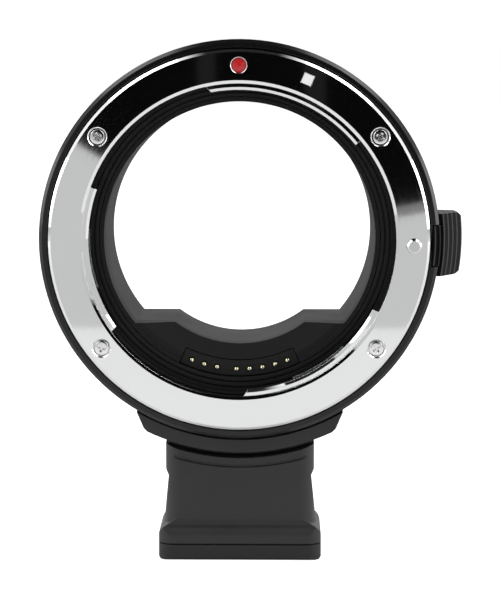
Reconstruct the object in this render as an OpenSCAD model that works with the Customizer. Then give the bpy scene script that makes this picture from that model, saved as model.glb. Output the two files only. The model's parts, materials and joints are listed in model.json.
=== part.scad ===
// Lens mount adapter. A chrome bayonet ring takes a lens at the front, a claw bayonet
// holds the camera at the rear, and a screwed-on foot carries a tripod thread.
// Frame: +X right and +Z up as seen from the lens side, +Y from the lens to the camera.
// The origin is the mouth of the tripod thread, in the foot's bottom face.

/* [Optical axis] */
// Distance from the lens flange back to the camera flange
flange_gap = 24; // [24:0.5:28]
// Distance from the lens flange back to the middle of the foot
foot_setback = 13; // [12.6:0.1:13.4]

/* [Barrel] */
// Outside diameter of the barrel
barrel_d = 68; // [64:0.5:76]
// Wall of the barrel
barrel_wall = 2.2; // [1.6:0.1:2.4]
// How far the lens mount ring stands proud of the barrel
ring_proud = 1; // [0.7:0.1:1.3]
// Width of the barrel's front rim, round the lens mount ring
rim_w = 1.4; // [1.2:0.1:2]
// Chamfer round the barrel's front rim
rim_chamfer = 0.6; // [0.3:0.1:0.7]
// Thickness of the seat that the lens mount ring is screwed to
seat_t = 3.2; // [2.8:0.1:3.6]
// Thickness of the rear housing, up to the camera flange
rear_t = 5; // [4.8:0.1:5.6]
// Narrowing of the rear housing, on the radius
rear_taper = 1.8; // [1.2:0.1:2]

/* [Lens mount ring] */
// Width of the chrome ring's bearing face
ring_w = 5.2; // [5:0.1:6]
// Thickness of the ring's flange
ring_t = 2.6; // [2.4:0.1:3]
// Chamfer round the ring's outer edge
ring_chamfer = 0.45; // [0.2:0.05:0.6]
// Gap between the ring and the barrel's rim
ring_gap = 0.3; // [0.2:0.05:0.35]
// Depth of the skirt behind the ring
skirt_len = 1.8; // [1.6:0.1:1.9]
// How far the bayonet tabs reach in from the bearing face
tab_reach = 1.6; // [1.4:0.1:1.8]
// Depth of the tabs below the bearing face
tab_recess = 0.6; // [0.4:0.05:0.8]
// Thickness of the tabs
tab_t = 1.4; // [1.1:0.1:1.5]
// Bevel along the tabs' inner edge
tab_bevel = 0.45; // [0.2:0.05:0.5]
// Thickness of the leaf springs that press on the lens
leaf_t = 0.2; // [0.15:0.05:0.3]

/* [Lens mount screws and marks] */
// Distance of the screws and marks from the ring's outer edge
screw_inset = 2.7; // [2.4:0.1:3]
// Diameter of the screw heads
screw_head_d = 2.6; // [2.4:0.1:2.8]
// Diameter of the counterbores round the screw heads
screw_sink_d = 3.3; // [3.1:0.1:3.5]
// Diameter of the mount screws' threads
screw_d = 1.7; // [1.5:0.1:1.8]
// Diameter of the red index dot
dot_d = 2.4; // [2:0.1:2.8]
// Side of the white index square
square_w = 1.75; // [1.5:0.05:2]

/* [Lens release] */
// Angle of the release slider, clockwise from the top
release_clock = 91.5; // [88:0.5:95]
// Travel of the release slider towards the camera
release_travel = 1.8; // [1.4:0.1:1.9]
// Diameter of the lock pin
pin_d = 2.5; // [2.2:0.1:2.7]
// How far the lock pin stands out of the bearing face
pin_proud = 0.8; // [0.6:0.1:1]
// Diameter of the lock pin's guide rod
rod_d = 1.4; // [1.2:0.1:1.5]
// Height of the slider's grip
grip_h = 10.7; // [9.6:0.1:11.6]
// How far the grip stands out of the barrel
grip_out = 4.4; // [3.8:0.1:4.8]
// Length of the grip along the optical axis
grip_len = 9.2; // [8.4:0.1:9.6]
// Number of steps in the grip's ramp
grip_steps = 5; // [4:1:6]
// Height of the slot that the slider runs in
slot_h = 7.1; // [6.8:0.1:7.6]
// Clearance of the slider in its slot
slide_gap = 0.15; // [0.1:0.05:0.2]
// Wire diameter of the lock spring
lock_wire_d = 0.32; // [0.25:0.01:0.4]

/* [Baffles and mask] */
// Step from the bayonet tabs in to the wall of the light path
path_step = 2.1; // [1.9:0.1:2.6]
// Wall of the rear baffle
baffle_wall = 0.8; // [0.7:0.05:0.9]
// Depth of the front baffle's face below the lens flange
baffle_depth = 6.2; // [6.2:0.1:6.6]
// Drop from one ridge of the baffle to the next
ridge_drop = 0.3; // [0.2:0.05:0.35]
// Width of one ridge
ridge_w = 0.9; // [0.8:0.05:0.95]
// Height of the mask's shoulders above the bottom of the light path
mask_rise = 8.47; // [7.9:0.01:8.9]
// Height of the mask's arched edge above the light path's wall
mask_reach = 4.7; // [4.4:0.1:5]
// Wall of the mask
mask_wall = 1.1; // [0.9:0.1:1.2]

/* [Contacts] */
// Distance of the lens contact pins inside the light path's wall
contact_inset = 0.5; // [0.4:0.05:0.7]
// Diameter of a contact pin's domed tip
contact_d = 0.85; // [0.75:0.05:0.95]
// Travel of a contact pin
contact_travel = 0.8; // [0.5:0.1:1]
// Width of the contact block, inner to outer radius
block_w = 2.7; // [2.5:0.1:2.8]
// Half angle of the contact block
block_half = 25.5; // [25:0.5:26]
// Depth of the contact block's face below the lens flange
block_depth = 7.6; // [7.5:0.1:7.9]
// Pitch of the camera contact pads, in degrees
pad_pitch = 3.9; // [3.6:0.1:4]

/* [Camera bayonet] */
// Width of the rear housing's rim, round the camera bayonet's flange
rear_rim_w = 1.45; // [1.2:0.05:1.8]
// Thickness of the camera bayonet's flange
camera_ring_t = 2.1; // [1.9:0.1:2.2]
// Wall of the bayonet tube
tube_wall = 0.8; // [0.7:0.05:0.9]
// How far the claws reach out from the tube
claw_reach = 1.6; // [1.3:0.1:1.8]
// Thickness of a claw
claw_t = 1.4; // [1.2:0.1:1.5]
// Gap between the camera flange and the claws
claw_gap = 1.3; // [1.1:0.1:1.4]
// How far the bayonet tube stands out of the camera flange
tube_out = 3.2; // [3:0.1:3.4]
// Distance of the camera ring's screws from its outer edge
camera_screw_inset = 1.7; // [1.6:0.05:1.8]

/* [Foot] */
// Height from the foot's bottom face to the saddle
foot_h = 18.8; // [18:0.2:30]
// Thickness of the saddle
saddle_t = 3.55; // [3:0.05:4]
// Depth of the saddle along the optical axis
saddle_depth = 12; // [11.4:0.1:12]
// Gap between the saddle and the arm's hollow top
saddle_gap = 1; // [0.8:0.1:1.2]
// Width of the arm's head
arm_w = 26; // [25:0.2:26.6]
// Height of the arm's head, from the waist to the saddle
head_len = 4.3; // [3.8:0.1:5]
// Width of the arm at its waist
waist_w = 24.9; // [24:0.1:25]
// Width of the arm where it meets the base
ankle_w = 26.8; // [26:0.1:27]
// Depth of the arm along the optical axis
arm_depth = 11.6; // [11.4:0.1:12]
// Radius of the arm's rounded corners, seen from above
arm_corner_r = 2.75; // [1.8:0.05:2.9]
// Width of the base
base_w = 28.4; // [28.2:0.2:32]
// Depth of the base along the optical axis
base_depth = 14.6; // [14.6:0.2:18]
// Thickness of the base plate
plate_t = 2.66; // [2.4:0.02:3]
// Radius of the base's corners seen from above
base_corner_r = 2.4; // [1.8:0.1:3]
// Tapped radius of the tripod thread
thread_r = 2.6; // [2.5:0.05:2.7]
// Depth of the tripod thread
thread_depth = 8; // [7.4:0.1:8.2]

/* [Hidden] */
$fn = 96;

// Small clearances: fixed pieces that touch, threads in their holes, running fits
fit_gap = 0.1;
thread_gap = 0.05;
run_gap = 0.05;
seat_gap = 0.15;
eps = 0.01;

// Angles clockwise from the top, as seen from the lens
// Each tab's root from one angle to another, and how far its tip falls short at either end
TABS = [[-125.6, -70.1, 0.6, 0], [-12.25, 50.4, 1.75, 0], [116.8, 178.5, 0.5, 1.9]];
LENS_SCREWS = [-53.5, 53.5, 128, -128];
CAMERA_SCREWS = [38, 142, 218, 322];
CLAWS = [[8, 56], [128, 176], [248, 296]];
bottom = 180;
square_clock = 23;
// Angles of the contact pins from the bottom, positive to the viewer's right
PIN_ANGLES = [-21.25, -15.6, -9.9, -1.35, 4.3, 9.95, 15.6, 21.25];
pad_count = 12;

barrel_r = barrel_d / 2;
barrel_in = barrel_r - barrel_wall;
rim_in = barrel_r - rim_w;
ring_r = rim_in - ring_gap;
throat_r = ring_r - ring_w;
throat_step = 0.5;
throat_fall = 0.15;
skirt_in = throat_r - throat_step;
seat_bore = throat_r + 0.35;
skirt_out = seat_bore - fit_gap;
tab_r = throat_r - tab_reach;
skirt_z = ring_t + skirt_len;
lip_z = ring_t + seat_t - 0.8;
seat_z = ring_t + seat_t;
lip_r = skirt_in + 0.3;
split_z = flange_gap - rear_t;

screw_r = screw_d / 2;
screw_circle_r = ring_r - screw_inset;
sink_depth = 1.2;
lens_screw_len = seat_z - sink_depth - 0.4;

path_r = tab_r - path_step;
baffle_out = path_r + baffle_wall;
baffle_rim_z = baffle_depth + 3 * ridge_drop;
mask_face_z = baffle_rim_z + ridge_drop;
mask_r = path_r - mask_reach;
mask_drop = path_r - mask_rise;
groove = [0.3, 0.4];
collar_z = 9.2;
collar_t = 1;
rear_flange_z = split_z + 0.4;
rear_flange_t = 1.1;
collar_r = seat_bore - 0.25;
tube_end_z = flange_gap + tube_out + 0.4;
mask_back_z = flange_gap + tube_out - 0.8;
mask_dish = 1.6;

pin_r = pin_d / 2;
rod_r = rod_d / 2;
arm_z = 8;
arm_t = 3.5;
clip_t = 0.4;
lock_coil_r = 1.25;
rod_tip_z = split_z + 0.4;
grip_z = 3.2;
grip_in = barrel_r + 0.2;
grip_r = barrel_r + grip_out;
stem_z = ring_proud + 0.15;
stem_len = 11.8;
slot_end_z = stem_z + stem_len + release_travel + 0.4;
slot_step = 0.6;

contact_r = path_r - contact_inset;
block_in = contact_r - block_w / 2 - 0.1;
block_out = block_in + block_w;
block_flange_z = mask_face_z + 2.6;
block_flange_t = 1.2;
block_back_z = 13;
window_half = block_half + 3.5;
contact_tip = contact_travel + 0.1;
collar_depth = 1.6;
pin_board_t = 0.6;
board_z = 14.5;
board_t = 0.8;
board_half = 33;
board_in = baffle_out + 1.4;
board_out = barrel_in - 0.5;
boss_angle = 27;
boss_r = barrel_in - 2.2;
saddle_screw_angle = 14;
saddle_screw_z = 10;
spot_face = 0.4;

camera_ring_r = barrel_r - rear_taper - rear_rim_w - seat_gap;
camera_ring_z = flange_gap - camera_ring_t;
tube_in = baffle_out + 0.2;
tube_r = tube_in + tube_wall;
claw_r = tube_r + claw_reach;
camera_land_r = claw_r + 0.4;
camera_circle_r = camera_ring_r - camera_screw_inset;
pad_t = 0.2;
pad_r = path_r - 1.5;

saddle_in = barrel_r + thread_gap;
saddle_r = saddle_in + saddle_t;
axis_h = saddle_r + foot_h;
saddle_half = [33.6, 26.1];
saddle_rebate = [1.3, 1.5];
saddle_pad = [19, 3.2];
saddle_z = foot_setback - saddle_depth / 2;
arm_top_r = saddle_r + saddle_gap;
waist_h = foot_h - head_len;
head_h = waist_h + 1;
ankle_h = 7;
shoulder_r = 1.9;
shoulder_z = 4.05;
tongue = [15, 5];
bush_h = thread_depth + 0.8;
tongue_h = bush_h + 1.6;
foot_top = foot_h + 7.6;
tongue_end = axis_h - tongue_h;
foot_screw_h = tongue_h + 3;
foot_screw_x = 4;
bush_r = 4.2;
bush_flange_r = 5.4;
base_screw_x = base_w / 2 - 4.2;

// Puts children drawn round z, with z = 0 in the lens flange, on the optical axis
module optical() translate([0, -foot_setback, axis_h]) rotate([-90, 0, 0]) children();

// Turns children drawn towards +X to an angle clockwise from the top
module clock(a) rotate([0, 0, a - 90]) children();

// Ring about the optical axis, between two radii and two depths
module ring(r0, r1, z0, z1) rotate_extrude() translate([r0, z0]) square([r1 - r0, z1 - z0]);

// Part of a ring, between two clock angles
module ring_part(r0, r1, z0, z1, a0, a1)
    clock(a0) rotate_extrude(angle = a1 - a0) translate([r0, z0]) square([r1 - r0, z1 - z0]);

// Box from a lower corner to an upper corner
module span(low, high) translate(low) cube(high - low);

// Rounded rectangle about the origin
module round_rect(w, h, r) {
    square([w - 2 * r, h], center = true);
    square([w, h - 2 * r], center = true);
    for (x = [-1, 1], y = [-1, 1]) translate([x * (w / 2 - r), y * (h / 2 - r)]) circle(r);
}

// Helical spring along +Z: ground flat in effect, because its end turns close up
module coil(r, wire, length, turns, steps, sides) {
    rings = turns * steps;
    points = [for (i = [0:rings], j = [0:sides - 1])
        let (a = 360 * i / steps, b = 360 * j / sides, reach = r + wire / 2 * cos(b))
        [reach * cos(a), reach * sin(a),
         wire / 2 + (length - wire) * i / rings + wire / 2 * sin(b)]];
    walls = [for (i = [0:rings - 1], j = [0:sides - 1])
        let (k = (j + 1) % sides)
        [i * sides + j, i * sides + k, (i + 1) * sides + k, (i + 1) * sides + j]];
    ends = [[for (j = [sides - 1:-1:0]) j], [for (j = [0:sides - 1]) rings * sides + j]];
    polyhedron(points, concat(walls, ends));
}

// Strip of sheet: a path in the x-y plane with thickness t, extruded by w about z = 0
module ribbon(path, t, w) translate([0, 0, -w / 2]) linear_extrude(w) {
    for (i = [0:len(path) - 2])
        let (d = path[i + 1] - path[i])
        translate(path[i]) rotate(atan2(d[1], d[0])) translate([0, -t / 2]) square([norm(d), t]);
    for (i = [1:len(path) - 2]) translate(path[i]) circle(t / 2, $fn = 24);
}

// Screw about z, with its head's top at z = 0 and its thread towards +Z
module cheese_screw(head_r, head_t, thread_r, length) difference() {
    union() {
        rotate_extrude() polygon([[0, 0], [head_r - 0.25, 0], [head_r, 0.25], [head_r, head_t],
            [0, head_t]]);
        translate([0, 0, head_t - eps]) cylinder(r = thread_r, h = length + eps);
    }
    for (a = [45, 135]) rotate(a)
        translate([-head_r * 0.55, -0.2, -eps]) cube([head_r * 1.1, 0.4, head_t * 0.6]);
}

// Countersunk screw about z, with its head's top at z = 0 and its thread towards +Z
module sunk_screw(head_r, head_t, thread_r, length) difference() {
    union() {
        rotate_extrude() polygon([[0, 0], [head_r, 0], [head_r, 0.2], [thread_r, head_t],
            [0, head_t]]);
        translate([0, 0, head_t - eps]) cylinder(r = thread_r, h = length + eps);
    }
    for (a = [45, 135]) rotate(a)
        translate([-head_r * 0.6, -0.2, -eps]) cube([head_r * 1.2, 0.4, head_t * 0.6]);
}

// Seat for a countersunk screw
module sunk_seat(head_r, head_t, hole_r, length) {
    rotate_extrude() polygon([[0, -1], [head_r + fit_gap, -1], [head_r + fit_gap, 0.2],
        [hole_r, head_t + fit_gap], [0, head_t + fit_gap]]);
    cylinder(r = hole_r, h = length);
}

// Front housing: rim, seat for the lens mount ring, wall, and pillars for the rear screws
module barrel() color("#222326") optical() difference() {
    union() {
        rotate_extrude() polygon([[rim_in, ring_proud], [barrel_r - rim_chamfer, ring_proud],
            [barrel_r, ring_proud + rim_chamfer], [barrel_r, split_z], [barrel_in, split_z],
            [barrel_in, seat_z], [lip_r, seat_z], [lip_r, lip_z], [seat_bore, lip_z],
            [seat_bore, ring_t], [rim_in, ring_t]]);
        for (a = CAMERA_SCREWS) clock(a) {
            translate([camera_circle_r, 0, seat_z - eps]) cylinder(r = 1.5, h = split_z - seat_z + eps);
            span([camera_circle_r, -1.5, seat_z - eps], [barrel_in + 0.5, 1.5, split_z]);
        }
        for (a = [-1, 1]) clock(bottom + a * boss_angle)
            translate([boss_r, 0, seat_z - eps]) cylinder(r = 1.4, h = board_z - seat_z + eps);
    }
    clock(release_clock) {
        translate([0, slot_h / 2, 0]) rotate([90, 0, 0]) linear_extrude(slot_h)
            polygon([[rim_in, -1], [barrel_r + 1, -1], [barrel_r + 1, slot_end_z],
                [barrel_in - 1, slot_end_z], [barrel_in - 1, seat_z + slot_step],
                [rim_in, seat_z + slot_step]]);
        translate([screw_circle_r, 0, 0]) cylinder(r = pin_r + run_gap, h = seat_z + 1);
    }
    for (a = LENS_SCREWS) clock(a)
        translate([screw_circle_r, 0, 0]) cylinder(r = screw_r + thread_gap, h = seat_z - 0.2);
    for (a = CAMERA_SCREWS) clock(a)
        translate([camera_circle_r, 0, split_z - 6]) cylinder(r = screw_r + thread_gap, h = 7);
    for (a = [-1, 1]) clock(bottom + a * boss_angle)
        translate([boss_r, 0, board_z - 3]) cylinder(r = 0.65, h = 4);
    saddle_screw_places() {
        cylinder(r = 1.1, h = 4);
        translate([0, 0, -2]) cylinder(r = 1.8, h = 2);
    }
}

// Rear cap of the barrel, with the recess for the camera bayonet
module rear_housing() color("#222326") optical() difference() {
    union() {
        rotate_extrude() polygon([[collar_r, split_z], [barrel_r, split_z],
            [barrel_r, split_z + 2], [barrel_r - rear_taper, flange_gap - 0.8],
            [camera_ring_r + seat_gap, flange_gap - 0.8], [camera_ring_r + seat_gap, camera_ring_z],
            [tube_r + 0.2, camera_ring_z], [tube_r + 0.2, rear_flange_z + rear_flange_t + fit_gap],
            [collar_r, rear_flange_z + rear_flange_t + fit_gap]]);
        ring(barrel_in - 1.4, barrel_in - fit_gap, split_z - 1.6, split_z + eps);
    }
    for (a = CAMERA_SCREWS) clock(a) {
        span([barrel_in - 2, -1.7, split_z - 2], [barrel_r, 1.7, split_z]);
        translate([camera_circle_r, 0, split_z - 1]) cylinder(r = screw_r + fit_gap, h = rear_t);
    }
    clock(release_clock) translate([screw_circle_r, 0, split_z - 2]) {
        cylinder(r = rod_r + run_gap, h = 2 + 0.4 + release_travel + 0.2);
        cylinder(r = lock_coil_r + lock_wire_d / 2 + 0.25, h = 2);
    }
    translate([0, 0, split_z + 1.1]) clock(0) translate([barrel_r - 0.9, 0, 0])
        rotate([0, 90, 0]) cylinder(r = 0.8, h = 2);
}

// Chrome ring that the lens turns in, with its three tabs
module lens_mount_ring() color("#c9ccd0") optical() difference() {
    union() {
        rotate_extrude() polygon([[throat_r, 0], [ring_r - ring_chamfer, 0],
            [ring_r, ring_chamfer], [ring_r, ring_t], [skirt_out, ring_t], [skirt_out, skirt_z],
            [skirt_in, skirt_z], [skirt_in, throat_fall]]);
        for (t = TABS) difference() {
            clock(t[0]) rotate_extrude(angle = t[1] - t[0])
                polygon([[skirt_in + 0.2, tab_recess], [tab_r + tab_bevel, tab_recess],
                    [tab_r, tab_recess + 0.6 * tab_bevel], [tab_r, tab_recess + tab_t],
                    [skirt_in + 0.2, tab_recess + tab_t]]);
            if (t[2] > 0) tab_end_cut(t[0], t[0] + t[2], t[0] - 3);
            if (t[3] > 0) tab_end_cut(t[1], t[1] - t[3], t[1] + 3);
        }
    }
    for (a = LENS_SCREWS) clock(a) translate([screw_circle_r, 0, 0]) {
        rotate_extrude() polygon([[0, -1], [screw_sink_d / 2, -1], [screw_sink_d / 2, 0],
            [screw_sink_d / 2 - 0.2, 0.2], [screw_sink_d / 2 - 0.2, sink_depth], [0, sink_depth]]);
        cylinder(r = screw_r + fit_gap, h = ring_t + 1);
    }
    clock(release_clock) translate([screw_circle_r, 0, -1]) cylinder(r = pin_r + run_gap, h = ring_t + 2);
    clock(0) translate([screw_circle_r, 0, 0]) rotate_extrude() polygon([[0, -1],
        [dot_d / 2 + 0.2, -1], [dot_d / 2 + 0.2, 0], [dot_d / 2 + thread_gap, 0.15],
        [dot_d / 2 + thread_gap, 1], [0, 1]]);
    clock(square_clock) translate([screw_circle_r, 0, 0])
        cube([square_w + 2 * thread_gap, square_w + 2 * thread_gap, 0.8], center = true);
}

// Slant of a tab's end, from an angle at its root to an angle at its tip
module tab_end_cut(root, tip, side) {
    a = at_clock(skirt_in + 0.1, root);
    b = at_clock(tab_r, tip);
    translate([0, 0, tab_recess - 1]) linear_extrude(tab_t + 2) polygon([a + 0.3 * (a - b),
        b + 0.8 * (b - a), at_clock(tab_r - 1, side), at_clock(skirt_in + 0.5, side)]);
}

// Point at a radius and an angle clockwise from the top
function at_clock(r, a) = [r * sin(a), -r * cos(a)];

module lens_mount_screws() color("#d4d6d8") optical()
    for (a = LENS_SCREWS) clock(a) translate([screw_circle_r, 0, 0.1])
        cheese_screw(screw_head_d / 2, sink_depth - 0.1, screw_r, lens_screw_len);

// Leaf springs behind the tabs: a clamped middle and two ends bent towards the lens
module bayonet_springs() color("#b8bcc0") optical() for (t = TABS) {
    reach = 8;
    clock((t[0] + t[1]) / 2) intersection() {
        ring(tab_r + 0.1, skirt_in - fit_gap, skirt_z - 1.4, skirt_z + leaf_t);
        translate([0, 0, skirt_z + leaf_t / 2]) rotate([0, 90, 0]) linear_extrude(40)
            union() {
                square([leaf_t, 9], center = true);
                for (s = [-1, 1]) translate([0, s * 4.4]) rotate(s * 16)
                    translate([-leaf_t / 2, s > 0 ? 0 : -reach / 2]) square([leaf_t, reach / 2]);
            }
    }
    ring_part(skirt_in - 0.2, skirt_out - fit_gap, skirt_z, skirt_z + leaf_t,
        (t[0] + t[1]) / 2 - 8, (t[0] + t[1]) / 2 + 8);
}

module red_index_dot() color("#c8242c") optical() clock(0) translate([screw_circle_r, 0, 0]) {
    translate([0, 0, 0.35]) cylinder(r = dot_d / 2, h = 0.65);
    intersection() {
        translate([0, 0, 0.02 + dot_d * 0.95]) sphere(dot_d * 0.95);
        cylinder(r = dot_d / 2, h = 0.5);
    }
}

module white_index_square() color("#f4f4f2") optical() clock(square_clock)
    translate([screw_circle_r, 0, 0.22]) cube([square_w, square_w, 0.36], center = true);

// Slider: stepped grip outside, stem in the slot, and an arm that carries the lock pin
module release_slider() color("#26272a") optical() clock(release_clock) difference() {
    union() {
        intersection() {
            rotate([0, 0, -20]) rotate_extrude(angle = 40) grip_profile();
            translate([grip_r - 10, 0, 0]) linear_extrude(40) round_rect(20, grip_h, 1.5);
        }
        span([rim_in + slide_gap, -slot_h / 2 + slide_gap, stem_z],
            [grip_in + 0.2, slot_h / 2 - slide_gap, stem_z + stem_len]);
        span([screw_circle_r - 2, -3, arm_z], [rim_in + 0.6, 3, arm_z + arm_t]);
    }
    translate([screw_circle_r, 0, 0]) cylinder(r = rod_r + 0.02, h = 40);
    for (y = [-1, 1]) translate([barrel_r, y * slot_h / 2, stem_z]) rotate([0, 45, 0])
        cube([0.8, slot_h, 0.8], center = true);
}

// Ramp of steps that rises towards the camera, with a small bevel on each edge
module grip_profile() {
    rise = (grip_r - grip_in) / grip_steps;
    run = (grip_len - 2.6) / grip_steps;
    bevel = 0.25;
    polygon(concat(
        [[grip_in, grip_z]],
        [for (k = [1:grip_steps]) each [
            [grip_in + k * rise - bevel, grip_z + (k - 1) * run],
            [grip_in + k * rise, grip_z + (k - 1) * run + bevel]]],
        [[grip_r, grip_z + grip_len - 0.8], [grip_r - 0.8, grip_z + grip_len],
         [grip_in, grip_z + grip_len]]));
}

// Lock pin: nose through the mount ring, and a rod that runs in the rear housing
module lock_pin() color("#c4c7cb") optical() clock(release_clock)
    translate([screw_circle_r, 0, 0]) rotate_extrude() polygon([[0, -pin_proud],
        [pin_r - 0.3, -pin_proud], [pin_r, -pin_proud + 0.3], [pin_r, arm_z], [rod_r, arm_z],
        [rod_r, rod_tip_z - 0.2], [rod_r - 0.2, rod_tip_z], [0, rod_tip_z]]);

// Clip behind the slider's arm, open on one side
module pin_clip() color("#8d9298") optical() clock(release_clock)
    translate([screw_circle_r, 0, arm_z + arm_t]) difference() {
        cylinder(r = 1.8, h = clip_t);
        translate([0, 0, -1]) cylinder(r = rod_r + 0.02, h = 2);
        span([-3, -rod_r * 0.8, -1], [0, rod_r * 0.8, 1]);
    }

module lock_spring() color("#a9adb2") optical() clock(release_clock)
    translate([screw_circle_r, 0, arm_z + arm_t + clip_t])
        coil(lock_coil_r, lock_wire_d, split_z - arm_z - arm_t - clip_t, 6, 14, 6);

// Ridged light baffle behind the mount ring
module front_baffle() color("#19191b") optical() rotate_extrude() polygon([
    [collar_r + 0.1, seat_z], [lip_r - 0.1, seat_z],
    [lip_r - 0.1, baffle_depth], [baffle_out + 0.1 + 2 * ridge_w, baffle_depth],
    [baffle_out + 0.1 + 2 * ridge_w, baffle_depth + ridge_drop + groove[1]],
    [baffle_out + 0.1 + 2 * ridge_w - groove[0], baffle_depth + ridge_drop + groove[1]],
    [baffle_out + 0.1 + 2 * ridge_w - groove[0], baffle_depth + ridge_drop],
    [baffle_out + 0.1 + ridge_w, baffle_depth + ridge_drop],
    [baffle_out + 0.1 + ridge_w, baffle_depth + 2 * ridge_drop + groove[1]],
    [baffle_out + 0.1 + ridge_w - groove[0], baffle_depth + 2 * ridge_drop + groove[1]],
    [baffle_out + 0.1 + ridge_w - groove[0], baffle_depth + 2 * ridge_drop],
    [baffle_out + 0.1, baffle_depth + 2 * ridge_drop],
    [baffle_out + 0.1, collar_z], [baffle_out + 1.2, collar_z],
    [baffle_out + 1.2, baffle_depth + 1.8], [collar_r - 1, baffle_depth + 1.8],
    [collar_r - 1, collar_z], [collar_r + 0.1, collar_z]]);

// Outline of the mask: what lies below the shoulders and outside the arched edge
module mask_outline(inner, outer, drop) intersection() {
    difference() {
        circle(outer);
        circle(inner);
    }
    translate([-outer, drop]) square([2 * outer, outer]);
}

// Rear baffle: the light path's wall, with the mask round the contacts moulded on
module rear_baffle() color("#5b5c5e") optical() difference() {
    union() {
        ring(path_r, baffle_out, baffle_rim_z, tube_end_z);
        ring(baffle_out - eps, collar_r, collar_z, collar_z + collar_t);
        ring(baffle_out - eps, collar_r - 0.3, rear_flange_z, rear_flange_z + rear_flange_t);
        translate([0, 0, mask_face_z]) linear_extrude(mask_back_z - mask_face_z)
            mask_outline(mask_r, path_r + 0.3, mask_drop);
    }
    rotate_extrude() polygon([[0, mask_face_z - 5], [path_r - 1.1, mask_face_z - 5],
        [path_r - 1.1, mask_face_z], [mask_r, mask_face_z + mask_dish], [0, mask_face_z + mask_dish]]);
    translate([0, 0, block_flange_z]) linear_extrude(mask_back_z - mask_wall - block_flange_z)
        mask_outline(mask_r + mask_wall, collar_r + 1, mask_drop + mask_wall);
    ring_part(block_in - fit_gap, collar_r + 1, 0, block_flange_z + eps,
        bottom - block_half - 0.3, bottom + block_half + 0.3);
    ring_part(pad_r - 1.3, pad_r + 1.3, flange_gap - 2, tube_end_z - 0.4,
        bottom - camera_block_half() - 0.3, bottom + camera_block_half() + 0.3);
}

function camera_block_half() = pad_pitch * pad_count / 2 + 0.6;

// Moulded block that guides the sprung contact pins
module lens_contact_block() color("#141416") optical() difference() {
    union() {
        ring_part(block_in, block_out, block_depth, block_back_z,
            bottom - block_half, bottom + block_half);
        ring_part(block_in - 0.8, block_out - 0.2, block_flange_z, block_flange_z + block_flange_t,
            bottom - window_half + 1, bottom + window_half - 1);
    }
    for (a = PIN_ANGLES) contact_place(a) {
        cylinder(r = contact_d / 2 + run_gap, h = 20);
        translate([0, 0, block_depth + collar_depth]) cylinder(r = contact_d / 2 + 0.3, h = 20);
    }
}

// Places children on the contact pins' circle, at an angle from the bottom
module contact_place(a) clock(bottom - a) translate([contact_r, 0, 0]) children();

// Sprung pin: domed tip, collar inside the block, and a tail in its spring
module contact_pin(i) color("#d9a441") optical() contact_place(PIN_ANGLES[i - 1])
    translate([0, 0, block_depth - contact_tip]) {
        translate([0, 0, contact_d / 2]) sphere(contact_d / 2, $fn = 32);
        translate([0, 0, contact_d / 2]) cylinder(r = contact_d / 2, h = 2.3, $fn = 32);
        translate([0, 0, contact_tip + collar_depth + run_gap])
            cylinder(r = contact_d / 2 + 0.22, h = 0.5, $fn = 32);
        translate([0, 0, contact_tip + collar_depth + run_gap]) cylinder(r = 0.26, h = 1.6, $fn = 32);
    }

module contact_spring(i) color("#c9ccd0") optical() contact_place(PIN_ANGLES[i - 1])
    translate([0, 0, block_depth + collar_depth + run_gap + 0.5])
        coil(0.5, 0.14, block_back_z - block_depth - collar_depth - run_gap - 0.5, 4, 10, 4);

// Small board that closes the pin chambers
module pin_board() color("#1f4d33") optical()
    ring_part(block_in - 0.8, block_out, block_back_z, block_back_z + pin_board_t,
        bottom - block_half, bottom + block_half);

// Main circuit board, in the barrel below the light path
module main_board() color("#1f4d33") optical() difference() {
    ring_part(board_in, board_out, board_z, board_z + board_t,
        bottom - board_half, bottom + board_half);
    for (a = [-1, 1]) clock(bottom + a * boss_angle)
        translate([boss_r, 0, board_z - 1]) cylinder(r = 0.75, h = 4);
}

module board_chips() color("#202124") optical() {
    for (c = [[-9, 5, 1.1], [9, 4, 1], [-19.5, 2.4, 0.8], [18.5, 2.4, 0.8]])
        clock(bottom + c[0]) translate([(board_in + board_out) / 2, 0, board_z - c[2] / 2])
            cube([c[1], c[1], c[2]], center = true);
}

module board_screws() color("#c4c7cb") optical() for (a = [-1, 1])
    clock(bottom + a * boss_angle) translate([boss_r, 0, board_z + board_t + 0.6])
        mirror([0, 0, 1]) cheese_screw(1.15, 0.6, 0.6, 2.4);

// Flexible cable from the pin board over the main board to the camera contacts
module flex_cable() color("#b5651d") optical() clock(bottom) rotate([90, 0, 0])
    ribbon([[block_in + 0.4, block_back_z + pin_board_t + 0.1],
        [block_out - 0.3, block_back_z + pin_board_t + 0.1],
        [baffle_out + 1.2, board_z + board_t + 1.2], [baffle_out + 2, board_z + board_t + 0.1],
        [baffle_out + 5, board_z + board_t + 0.1], [baffle_out + 5.3, board_z + board_t + 0.9],
        [baffle_out + 1.4, board_z + board_t + 2.6], [pad_r + 0.8, flange_gap - 2.6],
        [pad_r + 0.8, flange_gap - 2.1]], 0.2, 9);

// Arc block that carries the camera contact pads
module camera_contact_block() color("#141416") optical() difference() {
    union() {
        ring_part(pad_r - 1.2, pad_r + 1.2, flange_gap - 2, mask_back_z + 0.5,
            bottom - camera_block_half(), bottom + camera_block_half());
        ring_part(mask_r + mask_wall + 0.1, pad_r + 1.4, flange_gap - 2,
            mask_back_z - mask_wall, bottom - camera_block_half() - 2,
            bottom + camera_block_half() + 2);
    }
    for (i = [0:pad_count - 1]) pad_place(i)
        span([-0.85, -0.55, mask_back_z + 0.5 - pad_t], [0.85, 0.55, mask_back_z + 1]);
}

module pad_place(i) clock(bottom + (i - (pad_count - 1) / 2) * pad_pitch)
    translate([pad_r, 0, 0]) children();

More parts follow.
